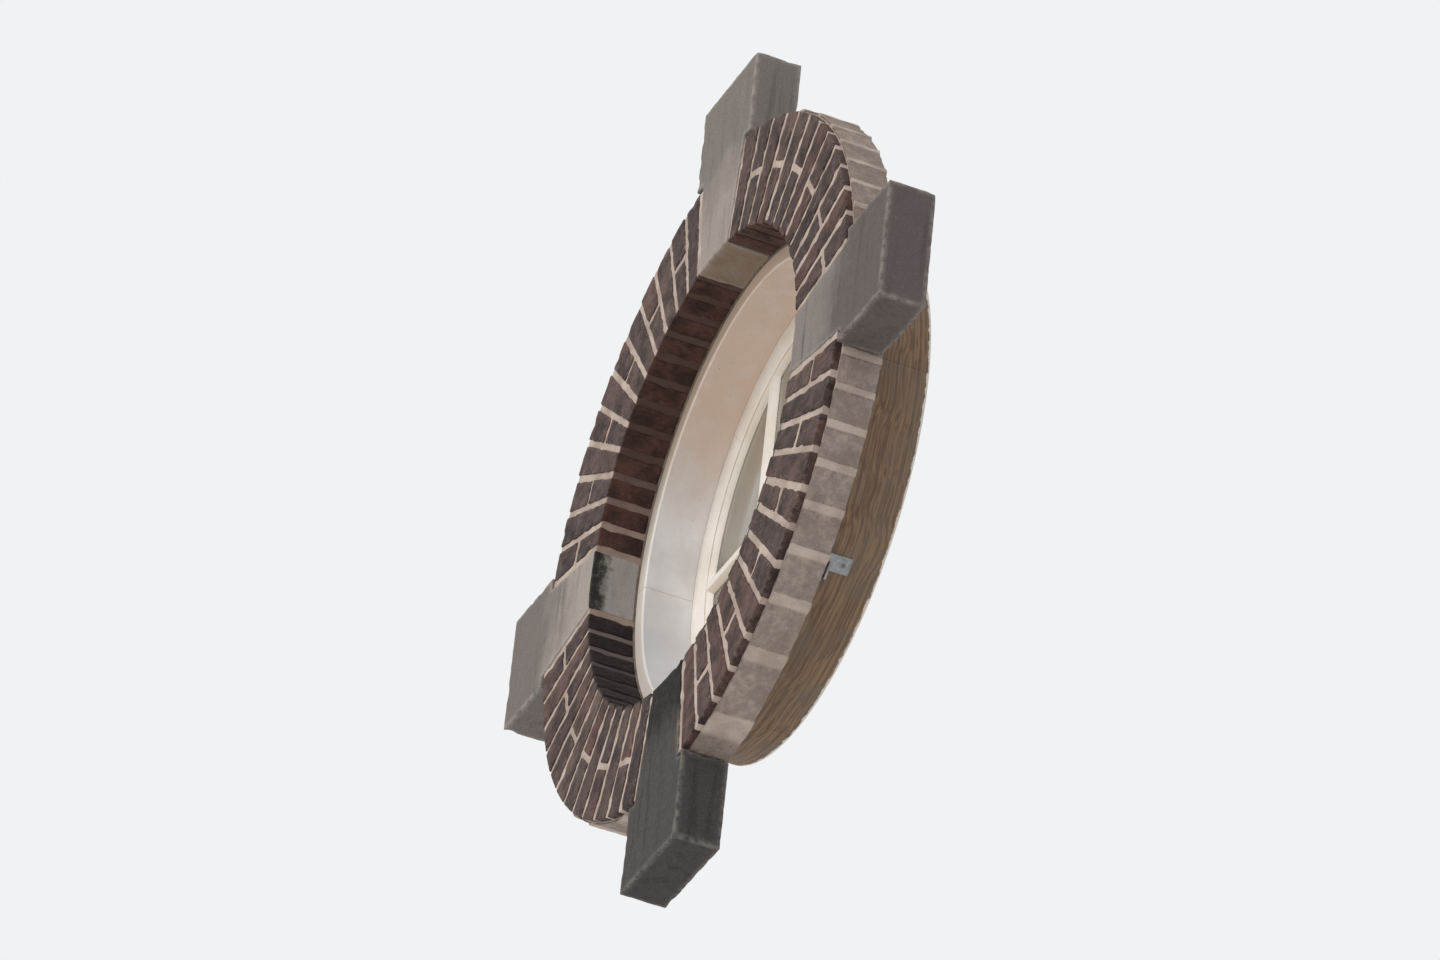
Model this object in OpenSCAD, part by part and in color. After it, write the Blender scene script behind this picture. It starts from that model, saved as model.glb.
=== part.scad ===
// Round facade window. A glazed timber sash sits in a round timber frame, which stands behind
// a ring of wedge-cut bricks with four key stones. X runs right as seen from the street, Y into
// the wall and Z up. The origin is the centre of the window, in the plane of the wall's face.

/* [Brick ring] */
// Clear diameter of the brick opening
opening_d = 858; // [780:2:940]
// Length of a full ring brick, along the radius
brick_len = 203; // [185:1:220]
// Length of the inner half of a ring brick that is laid as two halves
inner_half_len = 103; // [80:1:110]
// Thickness of the mortar joints
joint_t = 11; // [7:0.5:13]
// How far the joints lie behind the faces of the bricks
joint_recess = 3; // [1:0.5:6]
// Thickness of the mortar bed between the ring and the wall
bed_t = 9; // [6:1:14]
// Depth of the ring and the key stones, from face to back
ring_depth = 86; // [70:1:110]
// How far the ring and the key stones stand in front of the wall
proud = 12; // [8:1:20]
// Ring bricks between two key stones
bricks_per_quarter = 12; // [8:2:14]

/* [Key stones] */
// Angle of the ring that one key stone takes, with its joints
stone_angle = 17.4; // [15:0.2:19]
// Distance from the centre to the outer end of a key stone
stone_reach = 800; // [770:5:880]
// Width of a key stone beyond the ring
stone_w = 228; // [220:2:260]
// Chamfer along the front edges of a key stone
stone_arris = 3; // [1:0.5:5]

/* [Frame] */
// Width of the frame that shows inside the brick opening
frame_show = 28; // [20:1:36]
// Width of the frame that lies behind the bricks
frame_lap = 40; // [34:1:60]
// Depth of the frame's bore, from its front to the sash
bore_depth = 93; // [60:1:110]
// Chamfer round the front edge of the bore
bore_arris = 3; // [1:0.5:6]
// Thickness of the bedding between the ring and the frame
bedding_t = 3; // [2:0.5:6]
// Width of the bedding
bedding_w = 30; // [15:1:32]

/* [Sash] */
// Width of the sash that shows inside the frame's bore
sash_show = 68; // [58:1:80]
// Width of the sash that bears on the frame's stop
sash_bearing = 11; // [8:1:14]
// Clearance round the sash in the frame's rebate
sash_play = 3; // [1:0.5:4]
// Thickness of the sash, front to back
sash_t = 50; // [44:1:60]
// Chamfer round the inner back edge of the sash
sash_arris = 7; // [3:1:10]

/* [Glazing] */
// Width of the ledge that the glass and its putty lie on
ledge_w = 12; // [9:1:15]
// Depth of the glass behind the face of the sash
glass_sink = 12; // [9:1:15]
// Thickness of the glass
glass_t = 4; // [3:0.5:6]
// Clearance round the edge of each pane
glass_play = 2; // [1:0.5:3]
// Distance of the upright bars from the middle of the window
bar_offset = 133; // [110:1:150]
// Width of a glazing bar behind the glass
bar_w = 36; // [30:1:42]
// Width of a glazing bar's nose in front of the glass
bar_nose_w = 14; // [10:1:18]
// How far the noses of the bars lie behind the face of the sash
bar_nose_sink = 2; // [0.5:0.5:4]
// How far the bars stop short of the back of the sash
bar_back_sink = 6; // [2:1:10]
// Chamfer along the back edges of the bars
bar_arris = 8; // [3:1:11]

/* [Fixings] */
// Width of a steel tie between the frame and the wall
tie_w = 30; // [24:1:40]
// Thickness of a tie
tie_t = 4; // [3:0.5:6]
// Length of a tie's leg on the frame
tie_leg = 66; // [60:1:80]
// Length of a tie's arm beyond the frame
tie_arm = 90; // [60:5:120]
// Depth of the seat of a tie in the frame's rim
tie_seat = 2; // [1:0.5:3]
// Distance of a tie's arm behind the frame's front
tie_back = 26; // [15:1:40]
// Width of a retaining plate that holds the sash
plate_w = 24; // [18:1:30]
// Thickness of a retaining plate
plate_t = 3; // [2:0.5:4]
// How far the retaining plates lie below the back of the frame
plate_below = 0.5; // [0.2:0.1:1]
// Clearance round a retaining plate in its pocket
plate_play = 0.5; // [0.3:0.1:1]
// Distance from the edges of the sash and the rebate to the screws
screw_edge = 17; // [14:1:20]
// Diameter of the screws' heads
screw_head_d = 9; // [7:0.5:10]
// Diameter of the screws' shanks
screw_d = 4.5; // [3:0.5:5]
// Length of the screws
screw_len = 30; // [20:1:34]

/* [Hidden] */
$fn = 144;

// Quarters, sides, rows and columns in the order of their index
QUARTERS = ["upper_right", "upper_left", "lower_left", "lower_right"];
SIDES = ["right", "top", "left", "bottom"];
ROWS = ["upper", "lower"];
COLUMNS = ["left", "middle", "right"];
quarter_turn = 90;

// Colours of the materials
stone_colours = ["#73706c", "#96908a", "#7f7a73", "#5f6264"];
full_brick_colour = "#544a48";
inner_brick_colour = "#4a3c3a";
outer_brick_colour = "#625650";
mortar_colour = "#bfafa5";
frame_colour = "#dcd6ce";
bedding_colour = "#a89c90";
sash_colour = "#f1e7d6";
putty_colour = "#e9ddc9";
glass_colour = "#8d918b";
steel_colour = "#8a8d90";
screw_colour = "#6c6e70";

// Overrun of the cuts past the faces that they open
over = 1;

// Radii of the brick ring
opening_r = opening_d / 2;
ring_r = opening_r + brick_len;
bed_r = ring_r + bed_t;
inner_half_r = opening_r + inner_half_len;
pitch = (quarter_turn - stone_angle) / bricks_per_quarter;

// Depths behind the wall's face
ring_front = -proud;
ring_back = ring_front + ring_depth;
mortar_front = ring_front + joint_recess;
frame_front = ring_back + bedding_t;
sash_front = frame_front + bore_depth;
sash_back = sash_front + sash_t;
frame_back = sash_back + plate_t + plate_below;
nose_front = sash_front + bar_nose_sink;
glass_front = sash_front + glass_sink;
glass_back = glass_front + glass_t;
bar_back = sash_back - bar_back_sink;
lap_depth = (glass_back + bar_back) / 2;

// Radii of the frame and the sash
bore_r = opening_r - frame_show;
frame_r = opening_r + frame_lap;
sash_r = bore_r + sash_bearing;
rebate_r = sash_r + sash_play;
sight_r = bore_r - sash_show;
glaze_r = sight_r + ledge_w;

// Retaining plates and their screws, as radii
sash_screw_r = sash_r - screw_edge;
frame_screw_r = rebate_r + screw_edge;
plates = 8;
screw_head_h = (screw_head_d - screw_d) / 2;

// Screws in the leg of a tie, as shares of the leg behind its arm
tie_screw_shares = [0.35, 0.8];

// Turns a shape drawn on X and Y with its height along Z upright, so that its height is depth
module upright() {
    rotate([quarter_turn, 0, 0]) mirror([0, 0, 1]) children();
}

// An outline between two depths behind the wall's face
module slab(y0, y1) {
    upright() translate([0, 0, y0]) linear_extrude(y1 - y0) children();
}

// A flat shape of the upper right quarter, set into quarter q
module in_quarter(q) {
    mirror([q == 1 || q == 2 ? 1 : 0, 0]) mirror([0, q >= 2 ? 1 : 0]) children();
}

// Half the width of a wedge at the distance u from the centre, less half a joint
function wedge_half(u, angle) = u * tan(angle / 2) - joint_t / 2 / cos(angle / 2);

// Outline of a wedge that points at the centre, between two distances from it
module wedge_outline(r0, r1, angle) {
    polygon([
        [r0, -wedge_half(r0, angle)],
        [r1, -wedge_half(r1, angle)],
        [r1, wedge_half(r1, angle)],
        [r0, wedge_half(r0, angle)]]);
}

// Outlines of every second brick of a quarter, starting with brick first
module brick_outlines(r0, r1, first) {
    for (i = [first : 2 : bricks_per_quarter - 1])
        rotate(stone_angle / 2 + (i + 1 / 2) * pitch) wedge_outline(r0, r1, pitch);
}

// Bricks next to a side stone are halves, and every second one after that is whole
module full_outlines() {
    brick_outlines(opening_r, ring_r, 1);
}

module inner_outlines() {
    brick_outlines(opening_r, inner_half_r, 0);
}

module outer_outlines() {
    brick_outlines(inner_half_r + joint_t, ring_r, 0);
}

// Outline of a key stone: a wedge in the ring and a block with shoulders in the wall
module key_outline() {
    difference() {
        union() {
            wedge_outline(opening_r - joint_t, bed_r + joint_t, stone_angle);
            difference() {
                translate([ring_r - bed_t, -stone_w / 2])
                    square([stone_reach - ring_r + bed_t, stone_w]);
                circle(bed_r);
            }
        }
        circle(opening_r);
    }
}

// Cuts the chamfer along the front edge that runs from p to q
module arris_cut(p, q) {
    run = q - p;
    translate([p[0], p[1], ring_front])
        rotate(atan2(run[1], run[0]))
        rotate([45, 0, 0])
        translate([0, -stone_arris / sqrt(2), -stone_arris / sqrt(2)])
        cube([norm(run), stone_arris * sqrt(2), stone_arris * sqrt(2)]);
}

// Distance along the stone's axis at which the sides of its wedge meet the mortar bed
function neck_reach(t, k) =
    (t * k + sqrt(t * t * k * k - (1 + t * t) * (k * k - bed_r * bed_r))) / (1 + t * t);

module key_stone(side) {
    inner_u = opening_r - joint_t;
    neck_u = neck_reach(tan(stone_angle / 2), joint_t / 2 / cos(stone_angle / 2));
    color(stone_colours[side])
        difference() {
            slab(ring_front, ring_back) rotate(side * quarter_turn) key_outline();
            upright() rotate(side * quarter_turn) {
                for (flip = [0, 1])
                    mirror([0, flip, 0]) {
                        arris_cut([inner_u, wedge_half(inner_u, stone_angle)],
                            [neck_u, wedge_half(neck_u, stone_angle)]);
                        arris_cut([ring_r - bed_t, stone_w / 2],
                            [stone_reach + over, stone_w / 2]);
                    }
                arris_cut([stone_reach, -stone_w / 2 - over],
                    [stone_reach, stone_w / 2 + over]);
                translate([0, 0, ring_front - over])
                    cylinder(h = stone_arris + over, r1 = opening_r + stone_arris + over,
                        r2 = opening_r);
            }
        }
}

module full_bricks(q) {
    color(full_brick_colour) slab(ring_front, ring_back) in_quarter(q) full_outlines();
}

module inner_bricks(q) {
    color(inner_brick_colour) slab(ring_front, ring_back) in_quarter(q) inner_outlines();
}

module outer_bricks(q) {
    color(outer_brick_colour) slab(ring_front, ring_back) in_quarter(q) outer_outlines();
}

// Mortar of the upper right quarter between two radii, with the bricks and stones left out
module mortar_outline(r0, r1) {
    difference() {
        intersection() {
            square(r1);
            circle(r1);
        }
        circle(r0);
        key_outline();
        rotate(quarter_turn) key_outline();
        full_outlines();
        inner_outlines();
        outer_outlines();
    }
}

// Joints between the ring's bricks, and the bed that ties the ring into the wall
module ring_mortar(q) {
    color(mortar_colour) {
        slab(mortar_front, ring_back)
            in_quarter(q) mortar_outline(opening_r + joint_recess, ring_r);
        slab(joint_recess, ring_back) in_quarter(q) mortar_outline(ring_r, bed_r);
    }
}

// A wood screw with its head's face at the origin and its point down
module screw() {
    translate([0, 0, -screw_head_h])
        cylinder(h = screw_head_h, d1 = screw_d, d2 = screw_head_d);
    translate([0, 0, -screw_len]) cylinder(h = screw_len - screw_head_h, d = screw_d);
}

// Sets what lies on the X axis out at each retaining plate
module at_plates() {
    upright()
        for (i = [0 : plates - 1])
            rotate((i + 1 / 2) * 4 * quarter_turn / plates) children();
}

// Outline of a retaining plate with round ends, grown by a clearance
module plate_outline(grow) {
    plate_r = plate_w / 2 + grow;
    translate([sash_screw_r, -plate_r]) square([frame_screw_r - sash_screw_r, 2 * plate_r]);
    translate([sash_screw_r, 0]) circle(plate_r);
    translate([frame_screw_r, 0]) circle(plate_r);
}

module plate_screw_pairs() {
    for (r = [sash_screw_r, frame_screw_r])
        translate([r, 0, sash_back + plate_t]) screw();
}

module retaining_plates() {
    color(steel_colour)
        at_plates()
        difference() {
            translate([0, 0, sash_back]) linear_extrude(plate_t) plate_outline(0);
            plate_screw_pairs();
        }
}

module plate_screws() {
    color(screw_colour) at_plates() plate_screw_pairs();
}

// Sets what lies on the X axis out at each of the four ties
module at_ties() {
    upright()
        for (i = [0 : 3])
            rotate((i + 1 / 2) * quarter_turn) children();
}

module tie_screw_pairs() {
    for (share = tie_screw_shares)
        translate([frame_r - tie_seat + tie_t, 0, frame_front + tie_back + share * tie_leg])
            rotate([0, quarter_turn, 0]) screw();
}

// A flat bar bent at a right angle: a leg on the frame's rim and an arm out into the wall
module frame_ties() {
    color(steel_colour)
        at_ties()
        difference() {
            translate([frame_r - tie_seat, -tie_w / 2, frame_front + tie_back]) {
                cube([tie_t, tie_w, tie_leg]);
                cube([tie_seat + tie_arm, tie_w, tie_t]);
            }
            tie_screw_pairs();
        }
}

module tie_screws() {
    color(screw_colour) at_ties() tie_screw_pairs();
}

// Section of the frame: a bore, a stop for the sash and a rebate behind it
module frame_profile() {
    polygon([
        [bore_r + bore_arris, frame_front],
        [frame_r, frame_front],
        [frame_r, frame_back],
        [rebate_r, frame_back],
        [rebate_r, sash_front],
        [bore_r, sash_front],
        [bore_r, frame_front + bore_arris]]);
}

module frame_segment(q) {
    color(frame_colour)
        difference() {
            upright()
                rotate(q * quarter_turn) rotate_extrude(angle = quarter_turn) frame_profile();
            at_plates()
                translate([0, 0, sash_back])
                linear_extrude(plate_t + plate_below + over) plate_outline(plate_play);
            at_plates() plate_screw_pairs();
            at_ties()
                translate([frame_r - tie_seat, -tie_w / 2, frame_front + tie_back])
                cube([tie_seat + over, tie_w, tie_leg]);
            at_ties() tie_screw_pairs();
        }
}

module frame_bedding() {
    color(bedding_colour)
        slab(ring_back, frame_front)
        difference() {
            circle(opening_r + joint_recess + bedding_w);
            circle(opening_r + joint_recess);
        }
}

// Section of the sash: a rebate for the glass in front and a moulded edge behind
module sash_profile() {
    polygon([
        [glaze_r, sash_front],
        [sash_r, sash_front],
        [sash_r, sash_back],
        [sight_r + sash_arris, sash_back],
        [sight_r, sash_back - sash_arris],
        [sight_r, glass_back],
        [glaze_r, glass_back]]);
}

module sash_segment(side) {
    color(sash_colour)
        difference() {
            upright()
                rotate((side - 1 / 2) * quarter_turn)
                rotate_extrude(angle = quarter_turn) sash_profile();
            at_plates() plate_screw_pairs();
        }
}

// A glazing bar along Z through the origin, with its ends fitted to the round sash
module bar_outline() {
    polygon([
        [-bar_w / 2, glass_back],
        [bar_w / 2, glass_back],
        [bar_w / 2, bar_back - bar_arris],
        [bar_nose_w / 2, bar_back],
        [-bar_nose_w / 2, bar_back],
        [-bar_w / 2, bar_back - bar_arris]]);
}

module upright_bar(x) {
    intersection() {
        translate([x, 0, -sight_r]) linear_extrude(2 * sight_r) bar_outline();
        slab(glass_back, bar_back) circle(sight_r);
    }
    intersection() {
        translate([x - bar_nose_w / 2, nose_front, -glaze_r])
            cube([bar_nose_w, glass_back - nose_front, 2 * glaze_r]);
        slab(nose_front, glass_back) circle(glaze_r);
    }
}

module cross_bar() {
    rotate([0, quarter_turn, 0]) upright_bar(0);
}

// The bars are halved where they cross: the upright keeps what lies in front of the lap
module lap_side(front) {
    y0 = front ? nose_front - over : lap_depth;
    y1 = front ? lap_depth : bar_back + over;
    translate([-glaze_r, y0, -glaze_r]) cube([2 * glaze_r, y1 - y0, 2 * glaze_r]);
}

module glazing_bar_upright(sign) {
    color(sash_colour)
        difference() {
            upright_bar(sign * bar_offset);
            intersection() {
                cross_bar();
                lap_side(false);
            }
        }
}

module glazing_bar_cross() {
    color(sash_colour)
        difference() {
            cross_bar();
            intersection() {
                union() {
                    upright_bar(-bar_offset);
                    upright_bar(bar_offset);
                }
                lap_side(true);
            }
        }
}

// Edges of a light between the noses of the bars, as lowest and highest X of a column
function column_edges(c) =
    c == 1 ? [-bar_offset + bar_nose_w / 2, bar_offset - bar_nose_w / 2]
    : c == 2 ? [bar_offset + bar_nose_w / 2, glaze_r]
    : [-glaze_r, -bar_offset - bar_nose_w / 2];

// The same for a row, as lowest and highest Z
function row_edges(r) = r == 0 ? [bar_nose_w / 2, glaze_r] : [-glaze_r, -bar_nose_w / 2];

// Outline of the light in row r and column c, with a clearance inside its edges
module light_outline(r, c, play) {
    x = column_edges(c);
    z = row_edges(r);
    intersection() {
        circle(glaze_r - play);
        translate([x[0] + play, z[0] + play])
            square([x[1] - x[0] - 2 * play, z[1] - z[0] - 2 * play]);
    }
}

module pane(r, c) {
    color(glass_colour, 0.6) slab(glass_front, glass_back) light_outline(r, c, glass_play);
}

// A bevelled slot between two edges: narrow at the glass and full width at the bars' noses
module bevel_outline(e) {
    side = (bar_w - bar_nose_w) / 2;
    rise = glass_front - nose_front;
    polygon([
        [e[0] + side, glass_front + over],
        [e[0] + side, glass_front],
        [e[0], nose_front],
        [e[0] - side * over / rise, nose_front - over],
        [e[1] + side * over / rise, nose_front - over],
        [e[1], nose_front],
        [e[1] - side, glass_front],
        [e[1] - side, glass_front + over]]);
}

// Putty round a pane, bevelled from the bars and the sash down to the glass
module putty(r, c) {
    color(putty_colour)
        difference() {
            slab(nose_front, glass_front) light_outline(r, c, 0);
            intersection() {
                translate([0, 0, -glaze_r]) linear_extrude(2 * glaze_r)
                    bevel_outline(column_edges(c));
                rotate([0, quarter_turn, 0]) mirror([1, 0, 0])
                    translate([0, 0, -glaze_r]) linear_extrude(2 * glaze_r)
                    bevel_outline(row_edges(r));
                upright()
                    translate([0, 0, nose_front])
                    cylinder(h = glass_front - nose_front, r1 = glaze_r, r2 = sight_r);
            }
        }
}

for (side = [0 : 3]) {
    key_stone(side);
    sash_segment(side);
}
for (q = [0 : 3]) {
    full_bricks(q);
    inner_bricks(q);
    outer_bricks(q);
    ring_mortar(q);
    frame_segment(q);
}
for (r = [0, 1], c = [0 : 2]) {
    pane(r, c);
    putty(r, c);
}
frame_bedding();
frame_ties();
tie_screws();
glazing_bar_upright(-1);  // glazing_bar_left
glazing_bar_upright(1);  // glazing_bar_right
glazing_bar_cross();
retaining_plates();
plate_screws();
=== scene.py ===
"""Dresses the round facade window: brick ring, stone keys, deep painted frame, glazed sash."""
import math

import bmesh
import bpy
from mathutils import Matrix, Vector, kdtree, noise


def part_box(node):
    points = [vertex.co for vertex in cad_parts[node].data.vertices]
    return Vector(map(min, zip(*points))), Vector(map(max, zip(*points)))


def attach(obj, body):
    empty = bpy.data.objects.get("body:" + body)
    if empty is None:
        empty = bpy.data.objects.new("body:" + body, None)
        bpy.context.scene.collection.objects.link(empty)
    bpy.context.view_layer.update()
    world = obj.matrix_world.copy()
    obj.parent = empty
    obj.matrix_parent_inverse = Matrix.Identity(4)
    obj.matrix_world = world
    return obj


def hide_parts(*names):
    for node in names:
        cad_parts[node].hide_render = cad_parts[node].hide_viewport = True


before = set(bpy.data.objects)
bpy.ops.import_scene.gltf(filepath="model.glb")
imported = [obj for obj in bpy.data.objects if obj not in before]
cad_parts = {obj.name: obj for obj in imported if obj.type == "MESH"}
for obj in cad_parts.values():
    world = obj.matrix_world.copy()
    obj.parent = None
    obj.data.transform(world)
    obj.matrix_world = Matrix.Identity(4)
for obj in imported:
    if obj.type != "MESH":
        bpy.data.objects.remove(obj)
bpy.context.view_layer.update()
scene = bpy.context.scene
scene.view_settings.view_transform = "Standard"


# The view. The window is seen from far below and from its right, as from the pavement, so the
# camera looks up along its face. A long lens from the photographed distance keeps the view flat.
LOOK = Vector((-0.7868, 0.2940, 0.5427)).normalized()
IMAGE_UP = Vector((0.4683, -0.2884, 0.8352))
VIEW_DISTANCE = 16.4
AIM_RIGHT = 0.041
AIM_UP = -0.024
SEEN_WIDTH = 2.46
SENSOR_WIDTH = 36.0
VIEW_REACH = 200.0


def add_object(name, data):
    """Puts a new object with its data into the scene."""
    obj = bpy.data.objects.new(name, data)
    scene.collection.objects.link(obj)
    return obj


image_right = LOOK.cross(IMAGE_UP).normalized()
image_up = image_right.cross(LOOK)
camera_data = bpy.data.cameras.new("camera")
camera_data.sensor_width = SENSOR_WIDTH
camera_data.lens = SENSOR_WIDTH * VIEW_DISTANCE / SEEN_WIDTH
camera = add_object("camera", camera_data)
camera.rotation_mode = "QUATERNION"
camera.rotation_quaternion = Matrix((image_right, image_up, -LOOK)).transposed().to_quaternion()
camera.location = image_right * AIM_RIGHT + image_up * AIM_UP - LOOK * VIEW_DISTANCE
camera_data.clip_end = VIEW_REACH
scene.camera = camera


# The stage is a pale floor far below the window, so that it never stands between the window and
# a camera that looks up. The sky lights everything softly, and one broad lamp stands for daylight.
SKY_LIGHT = 0.78
DAY_LIGHT = 1.2
DAY_FROM = Vector((0.10, -0.82, 0.52))
DAY_SPREAD = math.radians(35)
FLOOR_DEPTH = 40.0
FLOOR_HALF = 200.0


def tint(code):
    """A colour as a screen shows it, such as #8a7f70, as the linear colour that shaders take."""
    shares = [int(code[i:i + 2], 16) / 255 for i in (1, 3, 5)]
    return (*(s / 12.92 if s <= 0.04045 else ((s + 0.055) / 1.055) ** 2.4 for s in shares), 1.0)


def put(tree, kind, sockets=None, **settings):
    """Adds a node, with its settings and with its sockets filled by values or by other sockets."""
    node = tree.nodes.new(kind)
    for name, value in settings.items():
        setattr(node, name, value)
    for name, value in (sockets or {}).items():
        if isinstance(value, bpy.types.NodeSocket):
            tree.links.new(value, node.inputs[name])
        else:
            node.inputs[name].default_value = value
    return node


def made(tree, kind, sockets=None, **settings):
    """Adds a node as put does, and hands over its first output."""
    return put(tree, kind, sockets, **settings).outputs[0]


def calc(tree, operation, *values):
    """The result of one sum on values or sockets."""
    return made(tree, "ShaderNodeMath", dict(enumerate(values)), operation=operation)


def spread(tree, value, low, high, start=0.0, end=1.0):
    """The value's range from low to high, spread from start to end and held there beyond it."""
    return made(tree, "ShaderNodeMapRange", {
        "Value": value, "From Min": low, "From Max": high, "To Min": start, "To Max": end,
    }, interpolation_type="SMOOTHSTEP")


def mottle(tree, where, size, detail=3.0, roughness=0.55):
    """Noise with lumps about size metres across, from 0 to 1."""
    return made(tree, "ShaderNodeTexNoise", {
        "Vector": where, "Scale": 1 / size, "Detail": detail, "Roughness": roughness,
    })


def stretch(tree, where, scale):
    """The coordinates with each axis stretched by its own scale."""
    return made(tree, "ShaderNodeMapping", {"Vector": where, "Scale": scale})


def stain(tree, share, under, over):
    """One colour laid over another by a share."""
    node = put(tree, "ShaderNodeMix", data_type="RGBA")
    for i, value in ((0, share), (6, under), (7, over)):
        if isinstance(value, bpy.types.NodeSocket):
            tree.links.new(value, node.inputs[i])
        else:
            node.inputs[i].default_value = value
    return node.outputs[2]


def relief(tree, height, depth, under=None):
    """Bumps of a height from 0 to 1 that are depth metres deep, on top of other bumps."""
    sockets = {"Height": height, "Distance": depth, "Strength": 1.0}
    if under:
        sockets["Normal"] = under
    return made(tree, "ShaderNodeBump", sockets)


def new_finish(name, **constants):
    """A material with its tree, its object coordinates and the shader that its nodes drive."""
    material = bpy.data.materials.new(name)
    material.use_nodes = True
    tree = material.node_tree
    tree.nodes.clear()
    shader = put(tree, "ShaderNodeBsdfPrincipled")
    for socket, value in constants.items():
        shader.inputs[socket.replace("_", " ")].default_value = value
    put(tree, "ShaderNodeOutputMaterial", {"Surface": shader.outputs[0]})
    return material, tree, put(tree, "ShaderNodeTexCoord").outputs["Object"], shader


def drive(tree, shader, **sockets):
    """Lets nodes drive the shader's sockets."""
    for name, value in sockets.items():
        tree.links.new(value, shader.inputs[name.replace("_", " ")])


sky = bpy.data.worlds.new("sky")
sky.use_nodes = True
scene.world = sky
tree = sky.node_tree
tree.nodes.clear()
rays = put(tree, "ShaderNodeLightPath").outputs
seen = calc(tree, "MAXIMUM", rays["Is Camera Ray"], rays["Is Glossy Ray"])
seen = calc(tree, "MAXIMUM", seen, rays["Is Transmission Ray"])
sky_shader = made(tree, "ShaderNodeBackground", {
    "Color": tint("#f1f2f3"), "Strength": spread(tree, seen, 0, 1, SKY_LIGHT, 1.0)})
put(tree, "ShaderNodeOutputWorld", {"Surface": sky_shader})

lamp_data = bpy.data.lights.new("daylight", "SUN")
lamp_data.energy = DAY_LIGHT
lamp_data.angle = DAY_SPREAD
lamp_data.color = tint("#fffaf2")[:3]
lamp = add_object("daylight", lamp_data)
lamp.rotation_mode = "QUATERNION"
lamp.rotation_quaternion = DAY_FROM.to_track_quat("Z", "Y")

floor_mesh = bpy.data.meshes.new("floor")
floor_mesh.from_pydata([(x * FLOOR_HALF, y * FLOOR_HALF, -FLOOR_DEPTH) for x, y in (
    (-1, -1), (1, -1), (1, 1), (-1, 1))], [], [(0, 1, 2, 3)])
floor = add_object("floor", floor_mesh)
floor_finish, tree, where, shader = new_finish("floor_plaster", Roughness=0.9)
drive(tree, shader, Base_Color=stain(
    tree, mottle(tree, where, 0.8), tint("#f4f4f3"), tint("#eeeeed")))
floor_mesh.materials.append(floor_finish)


# The brick ring: wedge-cut bricks stand on end round the opening, by turns a whole brick and one
# laid as two halves. They are hard, dark bricks with sharp arrises that have chipped over time.
OPENING_R = 0.429
BRICK_LEN = 0.203
RING_R = OPENING_R + BRICK_LEN
INNER_HALF_R = OPENING_R + 0.103
JOINT_T = 0.011
STONE_ANGLE = math.radians(17.4)
BRICKS_PER_QUARTER = 12
PITCH = (math.pi / 2 - STONE_ANGLE) / BRICKS_PER_QUARTER
RING_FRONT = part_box("full_bricks_upper_right")[0].y
RING_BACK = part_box("full_bricks_upper_right")[1].y
BRICK_ROUND = 0.0022
BRICK_GRID = 0.0055
BRICK_PLAY = 0.0012
BRICK_HOLLOWS = 0.0011
BRICK_CHIPS = 0.0065
BRICK_WEAR_REACH = 1.2 * BRICK_GRID
BRICK_TWIST = math.radians(0.07)
WEAR_LUMPS = 0.02
REVEAL_FADE = (OPENING_R + 0.006, OPENING_R + 0.002)
# Below this ragged height the faces inside the opening turn near-black.
BLACK_LINE = (-0.04, -0.07)
BLACK_RAGGED = 0.03


def wedge_half(u, angle):
    """Half the width of a wedge at the distance u from the centre, less half a joint."""
    return u * math.tan(angle / 2) - JOINT_T / 2 / math.cos(angle / 2)


def lines_between(low, high, step, edge):
    """Places of the grid lines from low to high, with one line close to either end."""
    count = max(1, round((high - low - 2 * edge) / step))
    inner = [low + edge + (high - low - 2 * edge) * i / count for i in range(count + 1)]
    return [low, *inner, high]


def solid_of(name, bm):
    """Makes a closed mesh an object, with its faces pointing outwards."""
    bmesh.ops.recalc_face_normals(bm, faces=bm.faces)
    mesh = bpy.data.meshes.new(name)
    bm.to_mesh(mesh)
    bm.free()
    return add_object(name, mesh)


def shell(name, across, deep, up, place):
    """A closed skin of quads over a block's grid lines, each point set by the place function."""
    bm = bmesh.new()
    last = (len(across) - 1, len(deep) - 1, len(up) - 1)
    points = {}
    for i, a in enumerate(across):
        for j, d in enumerate(deep):
            for k, z in enumerate(up):
                if i in (0, last[0]) or j in (0, last[1]) or k in (0, last[2]):
                    points[i, j, k] = bm.verts.new(place(a, d, z))
    for axis in range(3):
        one, other = [n for n in range(3) if n != axis]
        for end in (0, last[axis]):
            for p in range(last[one]):
                for q in range(last[other]):
                    corners = []
                    for dp, dq in ((0, 0), (1, 0), (1, 1), (0, 1)):
                        key = [0, 0, 0]
                        key[axis], key[one], key[other] = end, p + dp, q + dq
                        corners.append(points[tuple(key)])
                    bm.faces.new(corners)
    block = solid_of(name, bm)
    block.data.shade_smooth()
    return block


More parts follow.
